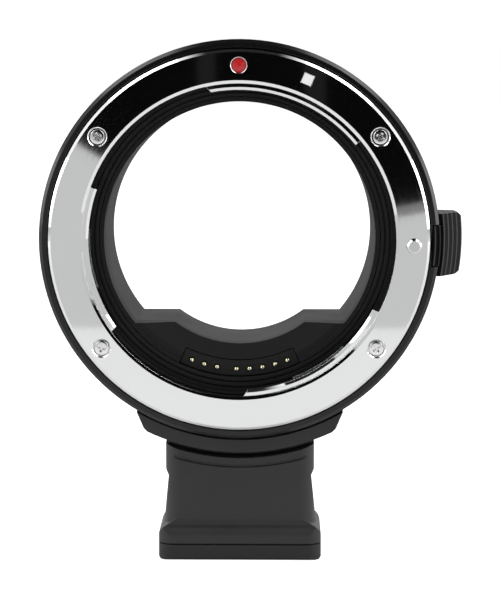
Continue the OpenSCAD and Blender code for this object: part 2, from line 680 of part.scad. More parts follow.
module camera_contact_pads() color("#d9a441") optical() for (i = [0:pad_count - 1]) pad_place(i)
    span([-0.8, -0.5, mask_back_z + 0.5 - pad_t], [0.8, 0.5, mask_back_z + 0.55]);

// Camera bayonet: flange with a raised land, tube, and three claws
module camera_mount_ring() color("#c9ccd0") optical() difference() {
    union() {
        rotate_extrude() polygon([[tube_in, camera_ring_z - 0.6], [tube_r, camera_ring_z - 0.6],
            [tube_r, camera_ring_z], [camera_ring_r, camera_ring_z],
            [camera_ring_r, flange_gap - 0.3], [camera_ring_r - 0.3, flange_gap],
            [camera_land_r, flange_gap], [camera_land_r, flange_gap - 0.2],
            [tube_r, flange_gap - 0.2], [tube_r, flange_gap + tube_out - 0.3],
            [tube_r - 0.3, flange_gap + tube_out], [tube_in, flange_gap + tube_out]]);
        for (c = CLAWS) clock(c[0]) rotate_extrude(angle = c[1] - c[0])
            polygon([[tube_r - 0.3, flange_gap + claw_gap], [claw_r, flange_gap + claw_gap],
                [claw_r, flange_gap + claw_gap + claw_t - 0.4],
                [claw_r - 0.4, flange_gap + claw_gap + claw_t],
                [tube_r - 0.3, flange_gap + claw_gap + claw_t]]);
    }
    for (a = CAMERA_SCREWS) clock(a) translate([camera_circle_r, 0, flange_gap - 0.1])
        mirror([0, 0, 1]) sunk_seat(1.45, 0.9, screw_r + fit_gap, camera_ring_t + 1);
    clock(282) translate([camera_circle_r, 0, flange_gap - 1.4]) cylinder(r = 1.15, h = 3);
}

module camera_mount_screws() color("#3a3b3e") optical() for (a = CAMERA_SCREWS)
    clock(a) translate([camera_circle_r, 0, flange_gap - 0.1])
        mirror([0, 0, 1]) sunk_screw(1.45, 0.9, screw_r, rear_t + 4);

module camera_index_dot() color("#c8242c") optical() translate([0, 0, split_z + 1.1])
    clock(0) translate([barrel_r - 0.9, 0, 0]) rotate([0, 90, 0]) cylinder(r = 0.75, h = 0.88);

// Drills or screws through the barrel wall into the saddle, pointing outwards
module saddle_screw_places() for (a = [-1, 1]) clock(bottom + a * saddle_screw_angle)
    translate([barrel_in + spot_face, 0, saddle_screw_z]) rotate([0, 90, 0]) children();

// Saddle under the barrel, with a pad and a tongue for the arm
module foot_saddle() color("#2c2d30") optical() difference() {
    union() {
        translate([0, 0, saddle_z]) linear_extrude(saddle_depth) saddle_outline();
        ring_part(saddle_r - 1, arm_top_r - fit_gap, foot_setback - saddle_pad[1],
            foot_setback + saddle_pad[1], bottom - saddle_pad[0], bottom + saddle_pad[0]);
        span([-tongue[0] / 2, saddle_r - 1.2, foot_setback - tongue[1] / 2],
            [tongue[0] / 2, tongue_end, foot_setback + tongue[1] / 2]);
    }
    translate([0, 0, saddle_z - 1]) cylinder(r = saddle_in + saddle_rebate[0], h = 1 + saddle_rebate[1]);
    saddle_screw_places() cylinder(r = 1.1, h = saddle_r - barrel_in - spot_face - 0.8);
    for (x = [-1, 1]) translate([x * foot_screw_x, axis_h - foot_screw_h, 0])
        cylinder(r = 1.05, h = 40);
}

// Arc plate with slanted ends and blunt lower corners
module saddle_outline() {
    top = polar(saddle_in, saddle_half[0]);
    low = polar(saddle_r, saddle_half[1]);
    blunt = [low + 0.5 * (top - low) / norm(top - low), polar(saddle_r, saddle_half[1] - 0.8)];
    ends = [2 * top - low, blunt[0], blunt[1] + 8 * (blunt[1] - blunt[0])];
    intersection() {
        difference() {
            circle(saddle_r);
            circle(saddle_in);
        }
        polygon(concat(ends, [for (i = [len(ends) - 1:-1:0]) [-ends[i][0], ends[i][1]]]));
    }
}

function polar(r, a) = [r * sin(a), r * cos(a)];

module saddle_screws() color("#8d9298") optical() saddle_screw_places()
    translate([0, 0, -1]) cheese_screw(1.7, 1, 1.05, saddle_r - barrel_in - spot_face - 1.2);

// Corner points of an arc about a centre, from one angle to another
function arc(c, r, a0, a1, n) =
    [for (i = [0:n]) let (a = a0 + (a1 - a0) * i / n) c + r * [cos(a), sin(a)]];

// Half outline of the base's rounded top, carried up by a steep slope to a neck
module base_outline(foot, neck) {
    right = concat(
        [[foot, plate_t]],
        arc([foot - shoulder_r, shoulder_z], shoulder_r, 0, 72, 8),
        [neck]);
    polygon(mirrored(right));
}

// Points on the right of the middle line, with their mirror images
function mirrored(right) =
    concat(right, [for (i = [len(right) - 1:-1:0]) [-right[i][0], right[i][1]]]);

// Arm with its waist and head, and with its upright corners rounded
module arm_block() difference() {
    translate([0, arm_depth / 2, 0]) rotate([90, 0, 0]) linear_extrude(arm_depth)
        polygon(mirrored([[ankle_w / 2, plate_t + 0.5], [ankle_w / 2, ankle_h - 1.6],
            [waist_w / 2, waist_h], [arm_w / 2, head_h], [arm_w / 2, foot_top]]));
    for (x = [-1, 1], y = [-1, 1]) scale([x, y, 1])
        translate([arm_w / 2 - arm_corner_r, arm_depth / 2 - arm_corner_r, 0])
            linear_extrude(axis_h) corner_cut(arm_corner_r);
}

// What lies outside a rounded corner of radius r, whose end leans out past the side
module corner_cut(r) polygon(concat(
    arc([0, 0], r, 90, 16, 8),
    [[r * cos(16) + 3 * sin(16), r * sin(16) - 3 * cos(16)], [r + 4, r * sin(16) - 3 * cos(16)],
     [r + 4, r + 2], [0, r + 2]]));

// Foot arm: hollow head under the saddle, waist, rounded corners and rounded base
module foot_body() color("#2f3033") difference() {
    union() {
        arm_block();
        intersection() {
            translate([0, base_depth / 2, 0]) rotate([90, 0, 0]) linear_extrude(base_depth)
                base_outline(base_w / 2, [arm_w / 2 - arm_corner_r, ankle_h + 0.5]);
            translate([-base_w / 2, 0, 0]) rotate([90, 0, 90]) linear_extrude(base_w)
                base_outline(base_depth / 2, [arm_depth / 2 - 0.1, ankle_h + 0.4]);
            linear_extrude(axis_h) round_rect(base_w, base_depth, base_corner_r);
        }
    }
    optical() translate([0, 0, -1]) cylinder(r = arm_top_r, h = 60);
    optical() translate([0, 0, foot_setback - arm_depth / 2 - 1]) linear_extrude(1.35)
        intersection() {
            difference() {
                circle(arm_top_r + 1.7);
                circle(arm_top_r + 1.2);
            }
            translate([-arm_w / 2 + 1, 0]) square([arm_w - 2, 60]);
        }
    span([-tongue[0] / 2 - fit_gap, -tongue[1] / 2 - fit_gap, tongue_h - 0.3],
        [tongue[0] / 2 + fit_gap, tongue[1] / 2 + fit_gap, axis_h]);
    cylinder(r = bush_r + fit_gap, h = bush_h + 0.2);
    cylinder(r = bush_flange_r + fit_gap, h = plate_t + 1.3);
    for (x = [-1, 1]) {
        translate([x * base_screw_x, 0, 0]) cylinder(r = 1.05, h = 7);
        translate([x * foot_screw_x, 0, foot_screw_h]) rotate([-90, 0, 0]) {
            cylinder(r = 1.15, h = 20);
            translate([0, 0, arm_depth / 2 - 2]) cylinder(r = 2, h = 20);
        }
    }
    seam_groove();
}

// Fine groove round the joint between the arm's base and the base plate
module seam_groove() translate([0, 0, plate_t - eps]) linear_extrude(0.26) difference() {
    square([base_w + 2, base_depth + 2], center = true);
    round_rect(base_w - 0.8, base_depth - 0.8, base_corner_r - 0.4);
}

module foot_screws() color("#8d9298") for (x = [-1, 1])
    translate([x * foot_screw_x, arm_depth / 2 - 0.2, foot_screw_h]) rotate([90, 0, 0])
        cheese_screw(1.9, 1.8, 1, tongue[1] + 1);

// Plate under the foot, screwed on, round the bush
module base_plate() color("#2a2b2d") difference() {
    intersection() {
        linear_extrude(plate_t) round_rect(base_w, base_depth, base_corner_r);
        translate([0, base_depth, 0]) rotate([90, 0, 0]) linear_extrude(2 * base_depth)
            plate_outline(base_w / 2);
        translate([-base_w, 0, 0]) rotate([90, 0, 90]) linear_extrude(2 * base_w)
            plate_outline(base_depth / 2);
    }
    translate([0, 0, -1]) cylinder(r = bush_r + thread_gap, h = 10);
    for (x = [-1, 1]) translate([x * base_screw_x, 0, 0.15]) sunk_seat(1.9, 1.2, 1.1, 10);
}

// Edge of the base plate, bevelled along its foot
module plate_outline(half) polygon([[half, plate_t], [half, 0.35], [half - 0.35, 0],
    [-half + 0.35, 0], [-half, 0.35], [-half, plate_t]]);

module base_screws() color("#8d9298") for (x = [-1, 1])
    translate([x * base_screw_x, 0, 0.15]) sunk_screw(1.9, 1.2, 1, 5);

// Bush with the tripod thread, held by its flange between arm and plate
module tripod_bush() color("#b89a5a") difference() {
    union() {
        cylinder(r = bush_r, h = bush_h);
        translate([0, 0, plate_t]) cylinder(r = bush_flange_r, h = 1.2);
    }
    translate([0, 0, -1]) cylinder(r = thread_r, h = thread_depth + 1);
}

barrel();
rear_housing();
lens_mount_ring();
lens_mount_screws();
bayonet_springs();
red_index_dot();
white_index_square();
release_slider();
lock_pin();
pin_clip();
lock_spring();
front_baffle();
rear_baffle();
lens_contact_block();
for (i = [1:8]) {
    contact_pin(i);
    contact_spring(i);
}
pin_board();
main_board();
board_chips();
board_screws();
flex_cable();
camera_contact_block();
camera_contact_pads();
camera_mount_ring();
camera_mount_screws();
camera_index_dot();
foot_saddle();
saddle_screws();
foot_body();
foot_screws();
base_plate();
base_screws();
tripod_bush();
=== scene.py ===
"""Lens mount adapter: finishes, fine fasteners, stage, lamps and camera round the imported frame."""

import json
import math

import bpy
from mathutils import Matrix, Vector


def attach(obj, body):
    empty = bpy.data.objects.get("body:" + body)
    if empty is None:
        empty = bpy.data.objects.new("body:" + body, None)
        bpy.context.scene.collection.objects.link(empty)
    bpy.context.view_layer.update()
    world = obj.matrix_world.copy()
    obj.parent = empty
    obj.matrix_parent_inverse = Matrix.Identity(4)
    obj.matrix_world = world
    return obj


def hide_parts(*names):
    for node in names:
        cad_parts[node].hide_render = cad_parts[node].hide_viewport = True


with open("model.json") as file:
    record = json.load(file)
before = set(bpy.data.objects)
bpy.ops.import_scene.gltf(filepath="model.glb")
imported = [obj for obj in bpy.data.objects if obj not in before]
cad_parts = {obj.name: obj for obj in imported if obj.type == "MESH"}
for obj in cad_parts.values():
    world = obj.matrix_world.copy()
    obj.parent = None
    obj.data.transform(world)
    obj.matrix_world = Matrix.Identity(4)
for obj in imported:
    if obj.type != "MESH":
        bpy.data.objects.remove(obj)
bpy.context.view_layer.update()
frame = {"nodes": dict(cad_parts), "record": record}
nodes = frame["nodes"]

# Lengths and places are in metres, as the frame's are
MM = 0.001
LEFT, RIGHT = Vector((-1, 0, 0)), Vector((1, 0, 0))
FORWARD, BACKWARD, DOWN = Vector((0, -1, 0)), Vector((0, 1, 0)), Vector((0, 0, -1))

# Sizes shared with the solids
AXIS_H = 0.0564  # height of the optical axis over the foot's underside
FLANGE_Y = -0.013  # the lens ring's bearing face
CAMERA_FLANGE_Y = 0.011  # the camera ring's bearing face
SCREW_CIRCLE = 0.0296  # radius on which the lens ring's screws stand
CAMERA_CIRCLE = 0.0289  # radius on which the camera ring's screws stand
PLATE_SCREW_X = 9.8 * MM  # the base plate's screws, to each side of the middle
GRIP_ROOT, GRIP_PITCH = 0.0342, 0.00084  # the slider's steps: first radius and width of one

# Painted shade: the light path's moulding is darkened in front of the first depth and keeps its tone
# behind the second, where its walls catch light at a grazing angle
PAINTED_SHADE_UNTIL, PAINTED_SHADE_ENDS = -0.0024, -0.0018


# ---------------------------------------------------------------- shader node helpers

FLOAT, VECTOR, COLOR = "NodeSocketFloat", "NodeSocketVector", "NodeSocketColor"


def grey(value):
    return (value, value, value, 1)


def add(tree, kind, place, **settings):
    """Adds a node at a place in the tree and sets its properties."""
    node = tree.nodes.new(kind)
    node.location = place
    for key, value in settings.items():
        setattr(node, key, value)
    return node


def set_inputs(node, **values):
    """Sets a node's inputs by their labels, written with _ for a space."""
    for label, value in values.items():
        node.inputs[label.replace("_", " ")].default_value = value


def math_node(tree, operation, place, a, b=None, clamp=False):
    """Math node whose inputs are sockets or numbers; returns its output."""
    node = add(tree, "ShaderNodeMath", place, operation=operation, use_clamp=clamp)
    for slot, value in enumerate((a, b)):
        if value is None:
            continue
        if isinstance(value, (int, float)):
            node.inputs[slot].default_value = value
        else:
            tree.links.new(value, node.inputs[slot])
    return node.outputs[0]


def noise_node(tree, place, vector, **values):
    """Noise texture that reads a vector, with its own scale and detail."""
    node = add(tree, "ShaderNodeTexNoise", place)
    set_inputs(node, **values)
    tree.links.new(vector, node.inputs["Vector"])
    return node


def axis_distance(tree, place, x, z):
    """Distance from the optical axis, from coordinates that are zero on it."""
    left, low = place
    xx = math_node(tree, "MULTIPLY", (left, low + 160), x, x)
    zz = math_node(tree, "MULTIPLY", (left, low), z, z)
    total = math_node(tree, "ADD", (left + 160, low + 100), xx, zz)
    return math_node(tree, "SQRT", (left + 320, low + 100), total)


# ---------------------------------------------------------------- effects shared by materials


def new_group(name, inputs, outputs):
    """Empty shader node group with its named sockets; returns the tree and its two end nodes."""
    tree = bpy.data.node_groups.new(name, "ShaderNodeTree")
    for label, kind, value in inputs:
        socket = tree.interface.new_socket(label, in_out="INPUT", socket_type=kind)
        if value is not None:
            socket.default_value = value
    for label, kind in outputs:
        tree.interface.new_socket(label, in_out="OUTPUT", socket_type=kind)
    ins = add(tree, "NodeGroupInput", (-900, 0))
    outs = add(tree, "NodeGroupOutput", (900, 0))
    return tree, ins, outs


def make_turned_finish():
    """Marks of turning: fine rings about the optical axis, drawn out along the cut."""
    tree, ins, outs = new_group(
        "turned_finish",
        [("Vector", VECTOR, None), ("Ring Pitch", FLOAT, 0.0003), ("Streak", FLOAT, 9.0)],
        [("Height", FLOAT), ("Sheen", FLOAT)],
    )
    centre = add(tree, "ShaderNodeMapping", (-700, 0))
    set_inputs(centre, Location=(0, 0, -AXIS_H))
    tree.links.new(ins.outputs["Vector"], centre.inputs["Vector"])
    parts = add(tree, "ShaderNodeSeparateXYZ", (-520, 0))
    tree.links.new(centre.outputs[0], parts.inputs[0])
    x, y, z = parts.outputs
    radius = axis_distance(tree, (-340, 0), x, z)
    angle = math_node(tree, "ARCTAN2", (-180, -160), x, z)
    rings = math_node(tree, "DIVIDE", (140, 100), radius, ins.outputs["Ring Pitch"])
    along = math_node(tree, "MULTIPLY", (140, -60), angle, ins.outputs["Streak"])
    depth = math_node(tree, "DIVIDE", (140, -220), y, ins.outputs["Ring Pitch"])
    joined = add(tree, "ShaderNodeCombineXYZ", (320, 0))
    for slot, value in enumerate((rings, along, depth)):
        tree.links.new(value, joined.inputs[slot])
    noise = noise_node(tree, (500, 60), joined.outputs[0], Scale=1.0, Detail=3.0, Roughness=0.55)
    tree.links.new(noise.outputs["Fac"], outs.inputs["Height"])
    sheen = add(tree, "ShaderNodeMapRange", (700, -120))
    set_inputs(sheen, From_Min=0.3, From_Max=0.7)
    tree.links.new(noise.outputs["Fac"], sheen.inputs["Value"])
    tree.links.new(sheen.outputs[0], outs.inputs["Sheen"])
    return tree


def make_fine_grain():
    """Grain of a blasted, painted or moulded surface, with its small spread of gloss."""
    tree, ins, outs = new_group(
        "fine_grain",
        [
            ("Vector", VECTOR, None),
            ("Grain Size", FLOAT, 0.0002),
            ("Low Gloss", FLOAT, 0.5),
            ("High Gloss", FLOAT, 0.4),
        ],
        [("Height", FLOAT), ("Roughness", FLOAT)],
    )
    vector = ins.outputs["Vector"]
    scale = math_node(tree, "DIVIDE", (-700, -160), 1.0, ins.outputs["Grain Size"])
    noise = noise_node(tree, (-480, 120), vector, Detail=4.0, Roughness=0.6)
    cells = add(tree, "ShaderNodeTexVoronoi", (-480, -200), feature="SMOOTH_F1")
    tree.links.new(vector, cells.inputs["Vector"])
    for texture in (noise, cells):
        tree.links.new(scale, texture.inputs["Scale"])
    height = math_node(tree, "MULTIPLY_ADD", (-240, 0), noise.outputs["Fac"], 0.6)
    tree.links.new(cells.outputs["Distance"], height.node.inputs[2])
    tree.links.new(height, outs.inputs["Height"])
    cloud = noise_node(tree, (-480, -520), vector, Scale=160.0, Detail=3.0)
    mixed = math_node(tree, "MULTIPLY_ADD", (-240, -420), cloud.outputs["Fac"], 0.7)
    speck = math_node(tree, "MULTIPLY", (-400, -360), noise.outputs["Fac"], 0.3)
    tree.links.new(speck, mixed.node.inputs[2])
    gloss = add(tree, "ShaderNodeMapRange", (0, -360))
    set_inputs(gloss, From_Min=0.3, From_Max=0.7)
    tree.links.new(mixed, gloss.inputs["Value"])
    tree.links.new(ins.outputs["High Gloss"], gloss.inputs["To Min"])
    tree.links.new(ins.outputs["Low Gloss"], gloss.inputs["To Max"])
    tree.links.new(gloss.outputs[0], outs.inputs["Roughness"])
    return tree


def make_soft_tone():
    """Slow variation of tone over a surface, with painted highlights that make the edges a little
    lighter.
    """
    tree, ins, outs = new_group(
        "soft_tone",
        [
            ("Vector", VECTOR, None),
            ("Color", COLOR, grey(0.02)),
            ("Edge Color", COLOR, grey(0.08)),
            ("Variation", FLOAT, 0.15),
            ("Edge Width", FLOAT, 0.0001),
            ("Edge Amount", FLOAT, 0.4),
        ],
        [("Color", COLOR)],
    )
    vector = ins.outputs["Vector"]
    cloud = noise_node(tree, (-640, 200), vector, Scale=90.0, Detail=4.0)
    signed = math_node(tree, "SUBTRACT", (-440, 200), cloud.outputs["Fac"], 0.5)
    factor = math_node(tree, "MULTIPLY_ADD", (-260, 200), signed, ins.outputs["Variation"])
    factor.node.inputs[2].default_value = 1.0
    shaded = add(tree, "ShaderNodeVectorMath", (-80, 200), operation="SCALE")
    tree.links.new(ins.outputs["Color"], shaded.inputs[0])
    tree.links.new(factor, shaded.inputs["Scale"])
    # Painted highlight: at edges, where the rounded normal turns from the true one, the colour goes
    # towards the lighter Edge Color, broken up by noise
    bevel = add(tree, "ShaderNodeBevel", (-640, -160), samples=6)
    tree.links.new(ins.outputs["Edge Width"], bevel.inputs["Radius"])
    geometry = add(tree, "ShaderNodeNewGeometry", (-640, -320))
    dot = add(tree, "ShaderNodeVectorMath", (-440, -200), operation="DOT_PRODUCT")
    tree.links.new(bevel.outputs[0], dot.inputs[0])
    tree.links.new(geometry.outputs["Normal"], dot.inputs[1])
    away = math_node(tree, "SUBTRACT", (-260, -200), 1.0, dot.outputs["Value"], clamp=True)
    steep = math_node(tree, "MULTIPLY", (-100, -200), away, 3.0, clamp=True)
    highlight_breakup = noise_node(tree, (-440, -420), vector, Scale=700.0)
    edge_highlight = math_node(tree, "MULTIPLY", (60, -260), steep, highlight_breakup.outputs["Fac"])
    mask = math_node(tree, "MULTIPLY", (220, -200), edge_highlight, ins.outputs["Edge Amount"], clamp=True)
    mix = add(tree, "ShaderNodeMix", (420, 60), data_type="RGBA")
    tree.links.new(mask, mix.inputs["Factor"])
    tree.links.new(shaded.outputs[0], mix.inputs["A"])
    tree.links.new(ins.outputs["Edge Color"], mix.inputs["B"])
    tree.links.new(mix.outputs["Result"], outs.inputs["Color"])
    return tree


TURNED = make_turned_finish()
GRAIN = make_fine_grain()
TONE = make_soft_tone()


# ---------------------------------------------------------------- materials

MATERIALS = {}


def place_group(tree, group, place, coordinates, **values):
    """Puts a node group in a material, fed with the object's own coordinates and its values."""
    node = add(tree, "ShaderNodeGroup", place)
    node.node_tree = group
    tree.links.new(coordinates, node.inputs["Vector"])
    set_inputs(node, **values)
    return node


def start_material(name, **constants):
    """Material with a Principled shader whose constant sockets are set, and object coordinates."""
    MATERIALS[name] = material = bpy.data.materials.new(name)
    material.use_nodes = True
    tree = material.node_tree
    shader = tree.nodes["Principled BSDF"]
    shader.location = (500, 0)
    set_inputs(shader, **constants)
    coordinates = add(tree, "ShaderNodeTexCoord", (-900, 0)).outputs["Object"]
    return tree, shader, coordinates


def bump(tree, shader, height, strength, distance, rounding):
    """Bump into the shader's normal, over edges rounded by a small radius."""
    node = add(tree, "ShaderNodeBump", (260, -360))
    set_inputs(node, Strength=strength, Distance=distance)
    tree.links.new(height, node.inputs["Height"])
    edge = add(tree, "ShaderNodeBevel", (60, -520), samples=6)
    set_inputs(edge, Radius=rounding)
    tree.links.new(edge.outputs[0], node.inputs["Normal"])
    tree.links.new(node.outputs[0], shader.inputs["Normal"])


def coated(name, color, edge, grain, gloss, depth, edge_width, edge_amount, **constants):
    """Dark paint, anodising or moulded plastic: tone, grain, gloss spread, soft edges and painted
    edge highlights.
    """
    tree, shader, coordinates = start_material(name, **constants)
    tone = place_group(
        tree, TONE, (-500, 240), coordinates, Color=color, Edge_Color=edge,
        Variation=0.25, Edge_Width=edge_width, Edge_Amount=edge_amount,
    )
    tree.links.new(tone.outputs["Color"], shader.inputs["Base Color"])
    texture = place_group(
        tree, GRAIN, (-500, -120), coordinates,
        Grain_Size=grain, Low_Gloss=gloss[1], High_Gloss=gloss[0],
    )
    tree.links.new(texture.outputs["Roughness"], shader.inputs["Roughness"])
    bump(tree, shader, texture.outputs["Height"], depth, grain * 0.25, edge_width * 1.5)


def metal(name, color, gloss, pitch, streak, depth, spread=0.05):
    """Bare or plated metal with turning marks and a slow change of tone, and no painted edge
    highlights.
    """
    tree, shader, coordinates = start_material(name, Metallic=1.0)
    tone = place_group(
        tree, TONE, (-500, 240), coordinates, Color=color, Edge_Color=color,
        Variation=spread, Edge_Width=0.00005, Edge_Amount=0.0,
    )
    tree.links.new(tone.outputs["Color"], shader.inputs["Base Color"])
    turned = place_group(
        tree, TURNED, (-500, -120), coordinates, Ring_Pitch=pitch, Streak=streak
    )
    spread_gloss = add(tree, "ShaderNodeMapRange", (-120, -120))
    set_inputs(spread_gloss, To_Min=gloss[0], To_Max=gloss[1])
    tree.links.new(turned.outputs["Sheen"], spread_gloss.inputs["Value"])
    tree.links.new(spread_gloss.outputs[0], shader.inputs["Roughness"])
    bump(tree, shader, turned.outputs["Height"], depth, pitch * 0.02, rounding=0.00006)


coated(
    "black_anodised", color=grey(0.0055), edge=grey(0.05), grain=0.00012, gloss=(0.14, 0.20),
    depth=0.05, edge_width=0.00012, edge_amount=0.3, Specular_IOR_Level=0.42,
)
metal(
    "mount_chrome", color=(0.93, 0.935, 0.94, 1), gloss=(0.03, 0.05), pitch=0.00035, streak=11.0,
    depth=0.05, spread=0.02,
)
metal(
    "screw_steel", color=(0.95, 0.95, 0.96, 1), gloss=(0.10, 0.18), pitch=0.0001, streak=60.0,
    depth=0.12,
)
coated(
    "screw_black", color=grey(0.02), edge=grey(0.12), grain=0.0001, gloss=(0.25, 0.35),
    depth=0.1, edge_width=0.00008, edge_amount=0.6, Metallic=0.5,
)
metal(
    "spring_steel", color=(0.62, 0.63, 0.65, 1), gloss=(0.18, 0.3), pitch=0.0001, streak=30.0,
    depth=0.2,
)
metal(
    "pin_steel", color=(0.85, 0.855, 0.86, 1), gloss=(0.05, 0.09), pitch=0.0002, streak=20.0,
    depth=0.08,
)
coated(
    "red_enamel", color=(0.52, 0.006, 0.010, 1), edge=(0.6, 0.05, 0.05, 1), grain=0.00015,
    gloss=(0.2, 0.3), depth=0.05, edge_width=0.0001, edge_amount=0.3,
    Coat_Weight=0.4, Coat_Roughness=0.12,
)
coated(
    "white_enamel", color=(0.90, 0.90, 0.89, 1), edge=grey(0.92), grain=0.00012, gloss=(0.4, 0.5),
    depth=0.05, edge_width=0.00005, edge_amount=0.1,
)
coated(
    "slider_black", color=grey(0.003), edge=grey(0.06), grain=0.00012, gloss=(0.40, 0.50),
    depth=0.12, edge_width=0.00010, edge_amount=0.1, Specular_IOR_Level=0.05,
)
coated(
    "baffle_black", color=grey(0.009), edge=grey(0.03), grain=0.00012, gloss=(0.42, 0.55),
    depth=0.12, edge_width=0.00008, edge_amount=0.5, Specular_IOR_Level=0.25,
)
coated(
    "baffle_grey", color=grey(0.037), edge=grey(0.05), grain=0.00015, gloss=(0.60, 0.70),
    depth=0.15, edge_width=0.00008, edge_amount=0.3, Specular_IOR_Level=0.22,
)
coated(
    "contact_plastic", color=grey(0.009), edge=grey(0.03), grain=0.00012, gloss=(0.40, 0.50),
    depth=0.1, edge_width=0.00006, edge_amount=0.3, Specular_IOR_Level=0.25,
)
metal(
    "contact_gold", color=(0.96, 0.90, 0.62, 1), gloss=(0.1, 0.18), pitch=0.00008, streak=40.0,
    depth=0.1,
)
coated(
    "board_green", color=(0.012, 0.07, 0.03, 1), edge=(0.1, 0.12, 0.08, 1), grain=0.0004,
    gloss=(0.25, 0.35), depth=0.1, edge_width=0.00008, edge_amount=0.3,
)
coated(
    "chip_black", color=grey(0.015), edge=grey(0.04), grain=0.00008, gloss=(0.4, 0.5),
    depth=0.1, edge_width=0.00006, edge_amount=0.3,
)
coated(
    "flex_amber", color=(0.45, 0.16, 0.03, 1), edge=(0.6, 0.3, 0.08, 1), grain=0.0002,
    gloss=(0.2, 0.3), depth=0.05, edge_width=0.00004, edge_amount=0.2,
    Coat_Weight=0.3, Coat_Roughness=0.1,
)
coated(
    "foot_black", color=grey(0.021), edge=grey(0.06), grain=0.00014, gloss=(0.42, 0.52),
    depth=0.16, edge_width=0.00014, edge_amount=0.3,
)
coated(
    "plate_black", color=grey(0.011), edge=grey(0.05), grain=0.00014, gloss=(0.42, 0.52),
    depth=0.14, edge_width=0.00010, edge_amount=0.3,
)
metal(
    "bush_brass", color=(0.72, 0.56, 0.28, 1), gloss=(0.18, 0.3), pitch=0.00015, streak=30.0,
    depth=0.2,
)


def tone_parts(name):
    """A coated material's tree, base colour socket, the tone that feeds it, and x, y and z."""
    tree = MATERIALS[name].node_tree
    socket = tree.nodes["Principled BSDF"].inputs["Base Color"]
    place = next(node for node in tree.nodes if node.type == "TEX_COORD")
    parts = add(tree, "ShaderNodeSeparateXYZ", (-800, 700))
    tree.links.new(place.outputs["Object"], parts.inputs[0])
    return tree, socket, socket.links[0].from_socket, parts.outputs


def paint_front_shade(name, start, end, least):
    """Paints shade: takes the tone down in front of a depth, so the front of a moulding is darker
    than its walls.
    """
    tree, socket, tone, (_, y, _) = tone_parts(name)
    fade = add(tree, "ShaderNodeMapRange", (0, 560))
    set_inputs(fade, From_Min=start, From_Max=end, To_Min=least)
    tree.links.new(y, fade.inputs["Value"])
    scaled = add(tree, "ShaderNodeVectorMath", (240, 400), operation="SCALE")
    tree.links.new(tone, scaled.inputs[0])
    tree.links.new(fade.outputs[0], scaled.inputs["Scale"])
    tree.links.new(scaled.outputs[0], socket)


def paint_step_highlights(name, inner, pitch, start, color):
    """Paints a highlight on the outer part of each step of the grip, found by its distance from the
    axis.
    """
    tree, socket, tone, (x, _, z) = tone_parts(name)
    high = math_node(tree, "SUBTRACT", (-640, 620), z, AXIS_H)
    radius = axis_distance(tree, (-480, 620), x, high)
    outwards = math_node(tree, "SUBTRACT", (0, 700), radius, inner)
    steps = math_node(tree, "DIVIDE", (160, 700), outwards, pitch)
    edge = add(tree, "ShaderNodeMapRange", (480, 700), interpolation_type="SMOOTHSTEP")
    set_inputs(edge, From_Min=start, From_Max=start + 0.2)
    tree.links.new(math_node(tree, "FRACT", (320, 700), steps), edge.inputs["Value"])
    mix = add(tree, "ShaderNodeMix", (640, 500), data_type="RGBA")
    set_inputs(mix, B=color)
    tree.links.new(edge.outputs[0], mix.inputs["Factor"])
    tree.links.new(tone, mix.inputs["A"])
    tree.links.new(mix.outputs["Result"], socket)


# Painted shade: the front of the grey light path moulding falls to 0.3 of its tone
paint_front_shade("baffle_grey", PAINTED_SHADE_UNTIL, PAINTED_SHADE_ENDS, least=0.3)
# Painted highlight: a pale band on the outer edge of each step of the slider's grip
paint_step_highlights("slider_black", GRIP_ROOT, GRIP_PITCH, start=0.65, color=grey(0.065))

# Each solid takes the finish that the record names for it
for part in frame["record"]["subparts"]:
    for slot in nodes[part["node"]].material_slots:
        slot.material = MATERIALS[part["material_slot"]]


# ---------------------------------------------------------------- modelling helpers


def clear_selection():
    if bpy.context.object and bpy.context.object.mode != "OBJECT":
        bpy.ops.object.mode_set(mode="OBJECT")
    bpy.ops.object.select_all(action="DESELECT")


def pick(piece, test, kind="FACE"):
    """Enters edit mode with only the faces or edges selected that pass the test."""
    bpy.ops.object.mode_set(mode="OBJECT")
    mesh = piece.data
    for items in (mesh.vertices, mesh.edges, mesh.polygons):
        items.foreach_set("select", [False] * len(items))
    if kind == "FACE":
        for face in mesh.polygons:
            face.select = test(face)
    else:
        for edge in mesh.edges:
            edge.select = test(*(mesh.vertices[i].co for i in edge.vertices))
    bpy.ops.object.mode_set(mode="EDIT")
    bpy.ops.mesh.select_mode(type=kind)


def raise_face(height):
    """Extrudes what is selected, straight up, or down where the height is negative."""
    bpy.ops.mesh.extrude_region_move(TRANSFORM_OT_translate={"value": (0, 0, height)})


def widen(share, height):
    """Scales what is selected about the z axis, in a plane at a height."""
    bpy.ops.transform.resize(value=(share, share, 1), center_override=(0, 0, height))


def finish_shape(piece, angle=35):
    """Leaves edit mode and smooths what meets at less than an angle."""
    bpy.ops.object.mode_set(mode="OBJECT")
    bpy.ops.object.shade_smooth_by_angle(angle=math.radians(angle))
    return piece


def cylinder(name, radius, top, bottom, sides):
    """Cylinder about z, from its bottom to its top, as the start of a turned piece."""
    clear_selection()
    bpy.ops.mesh.primitive_cylinder_add(
        vertices=sides, radius=radius, depth=top - bottom, location=(0, 0, (top + bottom) / 2)
    )
    piece = bpy.context.object
    piece.name = name
    bpy.ops.object.transform_apply(location=True, rotation=False, scale=False)
    return piece


def flat_at(height, tolerance=1e-5):
    """Test for faces that lie level at a height."""
    return lambda face: abs(face.normal.z) > 0.9 and abs(face.center.z - height) < tolerance


def rim_at(height, radius, tolerance=2e-5):
    """Test for edges of the round rim at a height."""

    def test(a, b):
        return all(
            abs(p.z - height) < tolerance and abs(math.hypot(p.x, p.y) - radius) < tolerance
            for p in (a, b)
        )

    return test


